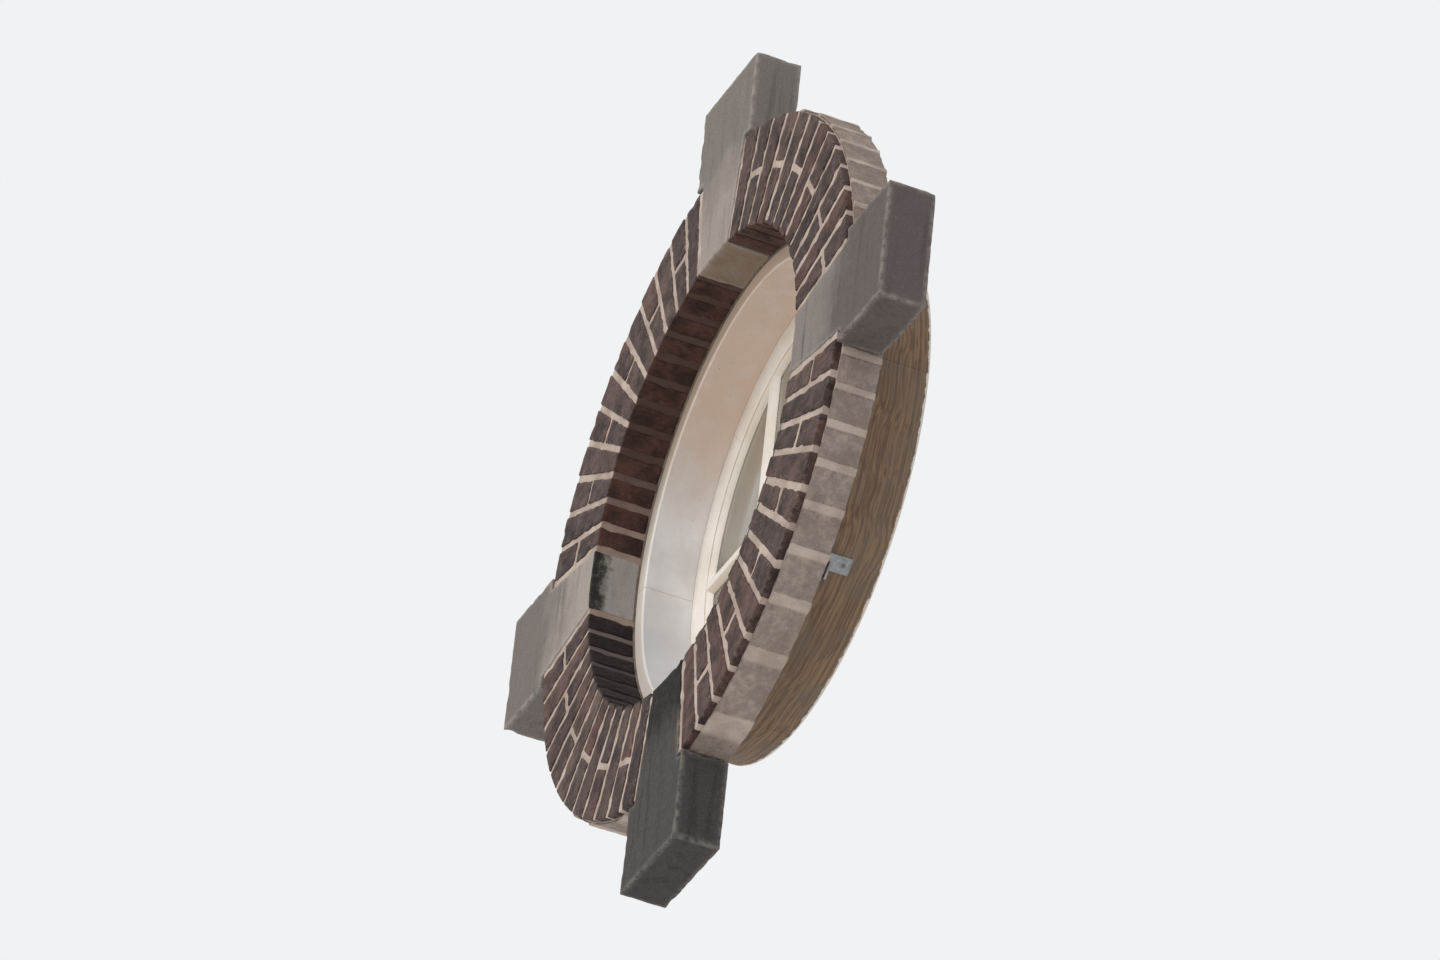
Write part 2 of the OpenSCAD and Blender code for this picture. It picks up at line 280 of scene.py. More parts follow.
def wedge_brick(name, r0, r1):
    """One brick on the X axis, narrow towards the opening, with rounded arrises and its wear."""
    def half_at(u):
        return wedge_half(u, PITCH)

    def place(u, y, share):
        point = Vector((u, y, share * half_at(u)))
        core = Vector((
            min(max(u, r0 + BRICK_ROUND), r1 - BRICK_ROUND),
            min(max(y, RING_FRONT + BRICK_ROUND), back - BRICK_ROUND),
            min(max(point.z, BRICK_ROUND - half_at(u)), half_at(u) - BRICK_ROUND)))
        return core + (point - core).normalized() * BRICK_ROUND

    back = RING_BACK - BRICK_PLAY
    middle = half_at((r0 + r1) / 2)
    brick = shell(
        name, lines_between(r0, r1, BRICK_GRID, BRICK_ROUND),
        lines_between(RING_FRONT, back, BRICK_GRID, BRICK_ROUND),
        lines_between(-1, 1, BRICK_GRID / middle, BRICK_ROUND / middle), place)
    wear = brick.data.attributes.new("wear", "FLOAT", "POINT")
    for v, value in zip(brick.data.vertices, wear.data):
        gaps = sorted((
            v.co.x - r0, r1 - v.co.x, v.co.y - RING_FRONT, back - v.co.y,
            half_at(v.co.x) - abs(v.co.z)))
        value.value = max(0.0, 1 - gaps[1] / BRICK_WEAR_REACH)
    return brick


def new_tree(name, inputs):
    """A geometry tree with its named inputs, and the node that hands them out."""
    tree = bpy.data.node_groups.new(name, "GeometryNodeTree")
    tree.interface.new_socket("Geometry", in_out="OUTPUT", socket_type="NodeSocketGeometry")
    for label, kind in [("Geometry", "Geometry"), *inputs, ("Material", "Material")]:
        tree.interface.new_socket(label, in_out="INPUT", socket_type="NodeSocket" + kind)
    return tree, put(tree, "NodeGroupInput").outputs


def close_tree(tree, geometry, given):
    """Ends a tree: copies become real mesh and take the material."""
    real = made(tree, "GeometryNodeRealizeInstances", {"Geometry": geometry})
    dressed = made(
        tree, "GeometryNodeSetMaterial", {"Geometry": real, "Material": given["Material"]})
    put(tree, "NodeGroupOutput", {"Geometry": dressed})
    return tree


def between(tree, low, high, seed):
    """A random value for each copy."""
    return put(tree, "FunctionNodeRandomValue", {2: low, 3: high, 8: seed}).outputs[1]


def times(tree, one, other):
    """The product of two values."""
    return calc(tree, "MULTIPLY", one, other)


def vector_of(tree, x=0.0, y=0.0, z=0.0):
    """The vector that three values make."""
    return made(tree, "ShaderNodeCombineXYZ", {"X": x, "Y": y, "Z": z})


def course_tree():
    """Lays copies of a piece round the window, each quarter the mirror image of the one before."""
    tree, given = new_tree("round_course", [
        ("Count in a quarter", "Int"), ("First angle", "Float"), ("Angle between", "Float"),
        ("Angle play", "Float"), ("Depth play", "Float"), ("Seed", "Int")])
    count = given["Count in a quarter"]
    index = made(tree, "GeometryNodeInputIndex")
    quarter = calc(tree, "FLOOR", calc(tree, "DIVIDE", index, count))
    step = calc(tree, "SUBTRACT", index, times(tree, quarter, count))
    odd = calc(tree, "MODULO", quarter, 2.0)
    turn = times(tree, calc(tree, "ADD", quarter, odd), math.pi / 2)
    angle = calc(tree, "MULTIPLY_ADD", step, given["Angle between"], given["First angle"])
    side = calc(tree, "MULTIPLY_ADD", odd, -2.0, 1.0)
    angle = calc(tree, "MULTIPLY_ADD", angle, side, turn)
    play = given["Angle play"]
    shifted = calc(tree, "ADD", angle, between(
        tree, times(tree, play, -1.0), play, given["Seed"]))
    points = made(tree, "GeometryNodePoints", {"Count": times(tree, count, 4.0)})
    toned = made(tree, "GeometryNodeStoreNamedAttribute", {
        "Geometry": points, "Name": "tone",
        "Value": between(tree, 0.0, 1.0, calc(tree, "ADD", given["Seed"], 1.0)),
    }, data_type="FLOAT", domain="POINT")
    copies = made(tree, "GeometryNodeInstanceOnPoints", {
        "Points": toned, "Instance": given["Geometry"],
        "Rotation": vector_of(tree, y=times(tree, shifted, -1.0))})
    sunk = between(tree, 0.0, given["Depth play"], calc(tree, "ADD", given["Seed"], 2.0))
    moved = made(tree, "GeometryNodeTranslateInstances", {
        "Instances": copies, "Translation": vector_of(tree, y=sunk)})
    return close_tree(tree, moved, given)


def settle(obj):
    """Makes what the object's modifiers show its plain mesh, and removes them."""
    graph = bpy.context.evaluated_depsgraph_get()
    mesh = bpy.data.meshes.new_from_object(
        obj.evaluated_get(graph), preserve_all_data_layers=True, depsgraph=graph)
    obj.modifiers.clear()
    mesh.name = obj.name
    obj.data = mesh
    return obj


def grow(obj, tree, values):
    """Runs a tree with its named inputs on an object, and keeps the result."""
    modifier = obj.modifiers.new(tree.name, "NODES")
    modifier.node_group = tree
    for item in tree.interface.items_tree:
        if item.item_type == "SOCKET" and item.in_out == "INPUT" and item.name in values:
            modifier[item.identifier] = values[item.name]
    return settle(obj)


def tree_of(places):
    """A tree that finds the nearest of the places."""
    tree = kdtree.KDTree(len(places))
    for i, place in enumerate(places):
        tree.insert(place, i)
    tree.balance()
    return tree


def weather(obj, hollows, chips, size, seed, reach=0.0):
    """Wears a piece inwards: shallow hollows all over, and chips where its wear is high. With a
    reach, the worn places lean the way that all the faces within it do."""
    mesh = obj.data
    wear = mesh.attributes["wear"].data
    tone = mesh.attributes["tone"].data if "tone" in mesh.attributes else None
    normals = [v.normal.copy() for v in mesh.vertices]
    if reach:
        near = tree_of([v.co for v in mesh.vertices])
        normals = [sum((n * a for n, a in (
            (normals[j], 1.001 - gap / reach) for _, j, gap in near.find_range(v.co, reach))),
            Vector()).normalized() if wear[i].value > 0 else normals[i]
            for i, v in enumerate(mesh.vertices)]
    for i, v in enumerate(mesh.vertices):
        own = Vector((0.0, seed + (tone[i].value * 50 if tone else 0.0), 0.0))
        place = v.co / size + own
        depth = hollows * (0.5 + 0.5 * noise.noise(place) + 0.3 * noise.noise(place * 3.1))
        if wear[i].value > 0:
            depth += chips * wear[i].value * max(0.0, noise.noise(place * 0.8 + own) - 0.12)
        v.co -= normals[i] * max(0.0, depth)
    mesh.update()


def keep(obj, slot, *nodes):
    """Hands a finished piece over: it rides with the window and stands for its CAD nodes."""
    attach(obj, "root")
    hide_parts(*nodes)


def blotched(tree, body, *coats):
    """Lays colours over a body, each up to its share where a value passes from low to high."""
    for value, low, high, share, code in coats:
        body = stain(tree, spread(tree, value, low, high, 0.0, share), body, tint(code))
    return body


def axes_of(tree, vector):
    """A vector's X, Y and Z."""
    return put(tree, "ShaderNodeSeparateXYZ", {"Vector": vector}).outputs


def distance_out(tree, where):
    """The distance from the window's axis."""
    flat = made(tree, "ShaderNodeVectorMath", {0: where, 1: (1, 0, 1)}, operation="MULTIPLY")
    return put(tree, "ShaderNodeVectorMath", {0: flat}, operation="LENGTH").outputs["Value"]


QUARTERS = ("upper_right", "upper_left", "lower_left", "lower_right")
SIDES = ("right", "top", "left", "bottom")

brick_finish, tree, where, shader = new_finish("hard_brick", Specular_IOR_Level=0.35)
tone = put(tree, "ShaderNodeAttribute", attribute_name="tone").outputs["Fac"]
wear = put(tree, "ShaderNodeAttribute", attribute_name="wear").outputs["Fac"]
kiln = put(tree, "ShaderNodeValToRGB", {"Fac": tone})
kiln.color_ramp.elements[0].color = tint("#342729")
kiln.color_ramp.elements[1].color = tint("#443130")
for position, code in (
        (0.16, "#513a36"), (0.34, "#5b423a"), (0.5, "#3b2b2b"), (0.64, "#655045"),
        (0.78, "#5d3b31"), (0.9, "#4f3e39")):
    kiln.color_ramp.elements.new(position).color = tint(code)
clouds = mottle(tree, where, 0.045, 4.0, 0.6)
sand = mottle(tree, where, 0.0028, 2.0, 0.7)
body = blotched(
    tree, kiln.outputs[0],
    (clouds, 0.35, 0.7, 1.0, "#302324"),
    (mottle(tree, where, 0.018, 5.0, 0.65), 0.5, 0.75, 0.55, "#725f57"),
    (sand, 0.58, 0.72, 0.5, "#87766a"),
    (sand, 0.42, 0.3, 0.7, "#1f1719"))
rubbed = times(tree, wear, spread(tree, mottle(tree, where, 0.009), 0.45, 0.7, 0.0, 0.6))
body = stain(tree, rubbed, body, tint("#8b7468"))
parts = axes_of(tree, where)
radius = distance_out(tree, where)
# Inside the opening the bricks are painted darker and redder: painted shade with warm bounce light.
inside = spread(tree, radius, *REVEAL_FADE)
body = stain(tree, times(tree, inside, 0.85), body, stain(
    tree, spread(tree, clouds, 0.35, 0.65), tint("#5b3b30"), tint("#3b2720")))
# Inside the opening the bricks turn near-black towards its bottom, below a ragged line.
blackening = spread(
    tree, calc(tree, "MULTIPLY_ADD", clouds, BLACK_RAGGED, parts[2]), *BLACK_LINE, 0.0, 0.9)
body = stain(tree, times(tree, inside, blackening), body, tint("#171315"))
rain = mottle(tree, stretch(tree, where, (1, 1, 0.12)), 0.03, 4.0)
turn = times(tree, calc(tree, "ARCTAN2", parts[2], parts[0]), RING_R)
along = vector_of(tree, turn, times(tree, radius, 0.5), times(tree, parts[1], 0.7))
folds = mottle(tree, along, 0.012, 2.0, 0.5)
# Rain streaks darken the bricks. The folds are painted darker where their bumps are deepest:
# painted shade in the creases.
body = blotched(
    tree, body, (rain, 0.52, 0.75, 0.45, "#2a2223"), (folds, 0.42, 0.34, 0.4, "#231a1b"))
crust = calc(tree, "ADD", times(tree, clouds, 0.6), times(tree, sand, 0.4))
bumps = relief(tree, mottle(tree, where, 0.011, 6.0, 0.7), 0.0016)
bumps = relief(tree, spread(tree, folds, 0.3, 0.6), 0.0018, bumps)
bumps = relief(tree, sand, 0.0005, bumps)
drive(tree, shader, Base_Color=body, Normal=bumps,
      Roughness=spread(tree, crust, 0.3, 0.7, 0.62, 0.9))

round_course = course_tree()
half_first = STONE_ANGLE / 2 + PITCH / 2
for name, r0, r1, first, seed in (
        ("full_bricks", OPENING_R, RING_R, half_first + PITCH, 11),
        ("inner_bricks", OPENING_R, INNER_HALF_R, half_first, 23),
        ("outer_bricks", INNER_HALF_R + JOINT_T, RING_R, half_first, 37)):
    bricks = grow(wedge_brick(name, r0, r1), round_course, {
        "Count in a quarter": BRICKS_PER_QUARTER // 2, "First angle": first,
        "Angle between": 2 * PITCH, "Angle play": BRICK_TWIST, "Depth play": BRICK_PLAY,
        "Seed": seed, "Material": brick_finish})
    weather(bricks, BRICK_HOLLOWS, BRICK_CHIPS, WEAR_LUMPS, seed)
    keep(bricks, "ring_brick", *(f"{name}_{q}" for q in QUARTERS))


# The mortar: pale lime mortar fills the joints between the bricks, struck a little behind their
# faces, and a bed of it closes the ring against the wall. Its faces are uneven from the trowel.
JOINT_RECESS = 0.003
JOINT_GRIP = 0.003
BED_R = RING_R + 0.009
BED_FRONT = 0.003
MORTAR_GRID = 0.0075
MORTAR_WAVES = 0.0012
MORTAR_WAVE_SIZE = 0.014
MORTAR_PLAY = 0.0008
MORTAR_EDGE = 0.001
BED_EDGE = 0.0015
MORTAR_REVEAL_FADE = (OPENING_R + 0.010, OPENING_R + 0.006)
WALL_COURSE = 0.061
PRINT_FADE = (0.08, 0.14)
PRINT_SKIN = (BED_R - 0.007, BED_R - 0.005)
RIM_SKIN = 0.003
RIM_BITE = 0.0036
RIM_SLOPE = 0.004
RIM_LOSS = 0.0012
joint_half = JOINT_T / 2 + JOINT_GRIP
joint_front = RING_FRONT + JOINT_RECESS


def set_out(r, y, angle):
    """The point so far from the window's axis, so deep and at this angle round it."""
    return Vector((r * math.cos(angle), y, r * math.sin(angle)))


def strip(name, u0, u1, half, first, between_angle, count):
    """A straight joint from u0 to u1 along the X axis, laid round the window."""
    joint = shell(
        name, lines_between(u0, u1, MORTAR_GRID, MORTAR_EDGE),
        lines_between(joint_front, RING_BACK, 2 * MORTAR_GRID, MORTAR_EDGE),
        lines_between(-half, half, MORTAR_GRID, MORTAR_EDGE), lambda u, y, z: Vector((u, y, z)))
    return grow(joint, round_course, {
        "Count in a quarter": count, "First angle": first, "Angle between": between_angle,
        "Angle play": 0.0, "Depth play": MORTAR_PLAY, "Seed": 5, "Material": mortar_finish})


mortar_finish, tree, where, shader = new_finish("lime_mortar", Specular_IOR_Level=0.2)
sand = mottle(tree, where, 0.0022, 3.0, 0.75)
body = stain(tree, spread(tree, mottle(tree, where, 0.06, 4.0), 0.35, 0.65),
             tint("#c6b5aa"), tint("#ab9a8f"))
body = blotched(
    tree, body,
    (sand, 0.55, 0.7, 0.5, "#e0d4c8"),
    (sand, 0.42, 0.3, 0.6, "#83746a"),
    (mottle(tree, where, 0.02, 5.0, 0.7), 0.55, 0.8, 0.6, "#8d8078"))
height = axes_of(tree, where)[2]
out = distance_out(tree, where)
# Inside the opening the joints are painted warmer and darker: painted shade with warm bounce light,
# a painted shadow under the top of the arch, and near-black towards the bottom.
inside = spread(tree, out, *MORTAR_REVEAL_FADE)
body = stain(tree, times(tree, inside, 0.4), body, tint("#86685c"))
for start, end, share, code in (
        (0.08, 0.24, 0.85, "#452f29"), (-0.08, -0.11, 0.8, "#625d5e"),
        (-0.12, -0.24, 0.8, "#2b292c")):
    body = stain(tree, times(tree, inside, spread(tree, height, start, end, 0.0, share)),
                 body, tint(code))
torn = mottle(tree, where, 0.016, 6.0, 0.7)
print_of_wall = calc(tree, "ABSOLUTE", calc(tree, "SUBTRACT", calc(
    tree, "FRACT", calc(tree, "MULTIPLY_ADD", height, 1 / WALL_COURSE, 0.5)), 0.5))
pressed = times(tree, spread(tree, out, *PRINT_SKIN), spread(tree, print_of_wall, *PRINT_FADE))
body = stain(tree, times(tree, pressed, spread(tree, torn, 0.35, 0.6, 0.2, 0.65)),
             body, tint("#8a7b72"))
bumps = relief(tree, mottle(tree, where, 0.008, 5.0, 0.7), 0.0018)
bumps = relief(tree, times(tree, torn, pressed), 0.006, bumps)
bumps = relief(tree, sand, 0.0007, bumps)
drive(tree, shader, Base_Color=body, Normal=bumps,
      Roughness=spread(tree, sand, 0.3, 0.7, 0.8, 0.95))

mortar = strip("ring_mortar", OPENING_R + JOINT_RECESS, RING_R - MORTAR_EDGE, joint_half,
               STONE_ANGLE / 2, PITCH, BRICKS_PER_QUARTER + 1)
cross_half = wedge_half(INNER_HALF_R, PITCH) + JOINT_GRIP
cross = strip("cross_joints", INNER_HALF_R - JOINT_GRIP, INNER_HALF_R + JOINT_T + JOINT_GRIP,
              cross_half, half_first, 2 * PITCH, BRICKS_PER_QUARTER // 2)
stone_side = math.asin(wedge_half(BED_R, STONE_ANGLE) / BED_R)
bed_span = math.pi / 4 - stone_side
bed = shell(
    "bed", lines_between(RING_R - JOINT_GRIP, BED_R, MORTAR_GRID, BED_EDGE),
    lines_between(BED_FRONT, RING_BACK, MORTAR_GRID, BED_EDGE),
    lines_between(-bed_span, bed_span, MORTAR_GRID / BED_R, MORTAR_EDGE), set_out)
bed = grow(bed, round_course, {
    "Count in a quarter": 1, "First angle": math.pi / 4, "Angle between": 0.0,
    "Angle play": 0.0, "Depth play": 0.0, "Seed": 7, "Material": mortar_finish})


def gather(first, *others):
    """Joins the meshes of several objects into the first one."""
    bm = bmesh.new()
    for obj in (first, *others):
        bm.from_mesh(obj.data)
    bm.to_mesh(first.data)
    bm.free()
    for obj in others:
        bpy.data.objects.remove(obj)
    return first


gather(mortar, cross, bed)
normals = [v.normal.copy() for v in mortar.data.vertices]
for v, normal in zip(mortar.data.vertices, normals):
    place = v.co / MORTAR_WAVE_SIZE + Vector((3, 0, 0))
    v.co += normal * MORTAR_WAVES * (noise.noise(place) + 0.5 * noise.noise(place * 2.7))
    radius = math.hypot(v.co.x, v.co.z)
    if radius > BED_R - RIM_SKIN:
        course = abs((v.co.z / WALL_COURSE + 0.5) % 1 - 0.5) * WALL_COURSE
        bite = RIM_BITE * min(1.0, max(0.0, course - JOINT_T / 2) / RIM_SLOPE)
        v.co -= Vector((v.co.x, 0, v.co.z)) / radius * (bite + RIM_LOSS)
mortar.data.update()
keep(mortar, "mortar", *(f"ring_mortar_{q}" for q in QUARTERS))


# The key stones: four blocks of dressed stone, wedge-shaped in the ring and with shoulders in
# the wall. They stand as proud as the bricks. Rain has streaked them, and their arrises are worn.
STONE_REACH = 0.800
STONE_HALF_W = 0.114
STONE_GRID = 0.009
STONE_ROUND = 0.0026
STONE_WEAR_REACH = 0.010
STONE_HOLLOWS = 0.0009
STONE_CHIPS = 0.006
CHISEL_STEP = 0.007
STONE_CLOUDS = 0.34
STONE_FADE = (0.66, 0.86)
STONE_REVEAL_FADE = (OPENING_R + 0.008, OPENING_R + 0.002)


def side_reach(r, angle):
    """How far along its axis a wedge's side meets the circle of radius r."""
    slope = math.tan(angle / 2)
    gap = JOINT_T / 2 / math.cos(angle / 2)
    root = math.sqrt(slope * slope * gap * gap - (1 + slope * slope) * (gap * gap - r * r))
    return (slope * gap + root) / (1 + slope * slope)


def arc_points(r, start, end, steps):
    """Points along a circle about the window's centre."""
    return [(r * math.cos(start + (end - start) * i / steps),
             r * math.sin(start + (end - start) * i / steps)) for i in range(steps + 1)]


def stone_outline():
    """Outline of a key stone on the X axis, from the opening to its outer end and back."""
    inner = math.acos(side_reach(OPENING_R, STONE_ANGLE) / OPENING_R)
    neck = math.acos(side_reach(BED_R, STONE_ANGLE) / BED_R)
    shoulder = math.asin(STONE_HALF_W / BED_R)
    return [*arc_points(OPENING_R, -inner, inner, 10), *arc_points(BED_R, neck, shoulder, 3),
            (STONE_REACH, STONE_HALF_W), (STONE_REACH, -STONE_HALF_W),
            *arc_points(BED_R, -shoulder, -neck, 3)]


def prism(bm, outline, y0, y1, angle):
    """Adds a prism between two depths, drawn at the X axis and turned round the window."""
    turn = Matrix.Rotation(-angle, 3, "Y")
    low = [bm.verts.new(turn @ Vector((x, y0, z))) for x, z in outline]
    high = [bm.verts.new(turn @ Vector((x, y1, z))) for x, z in outline]
    count = len(outline)
    bm.faces.new(low)
    bm.faces.new(high[::-1])
    for i in range(count):
        bm.faces.new((low[i], low[(i + 1) % count], high[(i + 1) % count], high[i]))


def carve(obj, grid, rounding, reach):
    """Rounds the arrises of a block, cuts its faces down to a grid and notes the wear on them."""
    bm = bmesh.new()
    bm.from_mesh(obj.data)
    sharp = [e for e in bm.edges if e.calc_face_angle(0) > math.radians(20)]
    places = []
    for edge in sharp:
        start, end = (v.co.copy() for v in edge.verts)
        count = max(1, round((end - start).length / (grid / 2)))
        places += [start.lerp(end, i / count) for i in range(count + 1)]
    bmesh.ops.bevel(bm, geom=sharp, offset=rounding, segments=2, profile=0.5, affect="EDGES")
    bmesh.ops.triangulate(bm, faces=bm.faces)
    for _ in range(12):
        long = [e for e in bm.edges if e.calc_length() > grid]
        if not long:
            break
        bmesh.ops.subdivide_edges(bm, edges=long, cuts=1)
        bmesh.ops.triangulate(bm, faces=bm.faces)
    bm.to_mesh(obj.data)
    bm.free()
    obj.data.shade_smooth()
    arrises = tree_of(places)
    wear = obj.data.attributes.new("wear", "FLOAT", "POINT")
    for v, value in zip(obj.data.vertices, wear.data):
        value.value = max(0.0, 1 - arrises.find(v.co)[2] / reach)


def stone_finish(name, near, far, wet, inner, black_out, black_deep, turn):
    """Dressed stone: its own colours near the opening, further out, in the rain's streaks and on
    the face inside the opening, with a grain and rubbed arrises. It turns near-black along the
    arris at the opening, so far out over the front face and so far into the opening."""
    material, tree, where, shader = new_finish(name, Specular_IOR_Level=0.25)
    wear = put(tree, "ShaderNodeAttribute", attribute_name="wear").outputs["Fac"]
    own = made(tree, "ShaderNodeMapping", {"Vector": where, "Location": (turn, turn, turn)})
    radius = distance_out(tree, where)
    clouds = mottle(tree, own, 0.11, 4.0, 0.6)
    out = calc(tree, "MULTIPLY_ADD", clouds, STONE_CLOUDS, radius)
    streaks = mottle(tree, stretch(tree, own, (1, 1, 0.1)), 0.022, 4.0, 0.6)
    grains = mottle(tree, own, 0.0018, 3.0, 0.75)
    lichen = mottle(tree, own, 0.013, 5.0, 0.7)
    body = blotched(
        tree, tint(near),
        (out, *STONE_FADE, 1.0, far),
        (streaks, 0.5, 0.72, 0.65, wet),
        (grains, 0.56, 0.72, 0.22, "#c8c1ba"),
        (grains, 0.42, 0.3, 0.5, "#3c3a38"),
        (lichen, 0.6, 0.72, 0.4, near))
    patches = mottle(tree, own, 0.03, 5.0, 0.7)
    inside = times(tree, spread(tree, radius, *STONE_REVEAL_FADE),
                   spread(tree, patches, 0.3, 0.65, 0.45, 0.85))
    body = stain(tree, inside, body, tint(inner))
    rubbed = times(tree, wear, spread(tree, lichen, 0.35, 0.6, 0.05, 0.6))
    body = stain(tree, rubbed, body, stain(tree, 0.45, tint(near), tint("#d0c8c0")))
    # Near-black along the arris at the opening, out over the face and into the opening.
    if black_out:
        over = calc(tree, "MULTIPLY_ADD", streaks, black_out, radius)
        deep = calc(tree, "MULTIPLY_ADD", patches, black_deep * 2, axes_of(tree, where)[1])
        blackening = times(
            tree, spread(tree, over, OPENING_R + black_out * 1.5, OPENING_R + black_out),
            spread(tree, deep, RING_FRONT + black_deep * 2.1, RING_FRONT + black_deep * 1.3))
        blackening = times(tree, blackening, spread(tree, lichen, 0.3, 0.5, 0.78, 0.95))
        body = stain(tree, blackening, body, tint("#1a1716"))
    strokes = mottle(tree, stretch(tree, own, (1, 1, 0.35)), 0.006, 4.0, 0.65)
    chisel = put(tree, "ShaderNodeTexWave", {
        "Vector": own, "Scale": math.pi / 5 / CHISEL_STEP, "Distortion": 3.0, "Detail": 2.0,
        "Detail Scale": 0.25}, bands_direction="DIAGONAL").outputs["Fac"]
    bumps = relief(tree, strokes, 0.0014)
    bumps = relief(tree, chisel, 0.0004, bumps)
    bumps = relief(tree, grains, 0.0006, bumps)
    drive(tree, shader, Base_Color=body, Normal=bumps,
          Roughness=spread(tree, lichen, 0.3, 0.7, 0.7, 0.92))
    return material


for i, (seed, near, far, wet, inner, black_out, black_deep) in enumerate((
        (5, "#857c78", "#615856", "#4b4543", "#8a827c", 0.0, 0.0),
        (3, "#9f938d", "#7b756f", "#635c57", "#8f7a66", 0.0, 0.0),
        (4, "#a39a92", "#766d69", "#5e5652", "#aaa7a4", 0.006, 0.034),
        (6, "#433d39", "#454241", "#2e2c2c", "#3b3b3d", 0.14, 0.3))):
    side = SIDES[i]
    bm = bmesh.new()
    prism(bm, stone_outline(), RING_FRONT, RING_BACK, i * math.pi / 2)
    stone = solid_of("dressed_stone_" + side, bm)
    carve(stone, STONE_GRID, STONE_ROUND, STONE_WEAR_REACH)
    weather(stone, STONE_HOLLOWS, STONE_CHIPS, WEAR_LUMPS, 60 + seed, STONE_WEAR_REACH)
    stone.data.materials.append(stone_finish(
        "stone_" + side, near, far, wet, inner, black_out, black_deep, seed * 0.7))
    keep(stone, side + "_stone", "key_stone_" + side)


# The bedding: a thin ring of hair mortar that the frame was pushed into from behind. Only its
# edge shows, in the crack between the bricks and the frame.
bedding_finish, tree, where, shader = new_finish("hair_mortar", Specular_IOR_Level=0.2)
hairs = mottle(tree, stretch(tree, where, (1, 0.2, 1)), 0.0015, 4.0, 0.7)
body = stain(tree, spread(tree, mottle(tree, where, 0.02), 0.35, 0.65),
             tint("#a4978a"), tint("#857a70"))
body = blotched(tree, body, (hairs, 0.55, 0.7, 0.6, "#5a4a3e"))
drive(tree, shader, Base_Color=body, Normal=relief(tree, hairs, 0.0008),
      Roughness=spread(tree, hairs, 0.3, 0.7, 0.8, 0.95))


def finish_node(name, material):
    """Gives a CAD node that stays in view its finish."""
    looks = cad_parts[name].data.materials
    looks.clear()
    looks.append(material)


finish_node("frame_bedding", bedding_finish)


# The frame: four curved timbers butted end to end behind the ring. Each is sawn to the arc,
# rebated for the sash from behind and painted off-white, with pockets for plates and tie seats.
BORE_R = 0.401
FRAME_R = OPENING_R + 0.040
REBATE_R = 0.415
FRAME_FRONT = RING_BACK + 0.003
SASH_FRONT = FRAME_FRONT + 0.093
SASH_BACK = SASH_FRONT + 0.050
FRAME_BACK = SASH_BACK + 0.0035
BORE_ARRIS = 0.003
PAINTED_CORNER = 0.0012
BUTT_GAP = 0.00003
JOINT_CHAMFER = 0.0005
HALF_SECTION = 0.03
FRAME_MIDDLE = (0.440, 0.130)
ARC_STEPS = 72
MERGE_DIST = 2e-6
FLAT_ANGLE = math.radians(50)
PLATES = 8
PLATE_R = 0.012
PLATE_PLAY = 0.0005
SASH_SCREW_R = 0.395
FRAME_SCREW_R = 0.432
TIE_SEAT = 0.002
TIE_W = 0.030
TIE_FRONT = FRAME_FRONT + 0.026
TIE_LEG = 0.066
CUT_OVER = 0.01
# The bore's paint takes painted cool sky light between these heights.
COOL_LIGHT_HEIGHTS = (0.02, -0.12)
# The frame's front takes painted warm bounce light between these heights and depths.
WARM_BOUNCE_HEIGHTS = (0.0, 0.38)
WARM_BOUNCE_DEPTHS = (FRAME_FRONT + 0.02, FRAME_FRONT + 0.01)


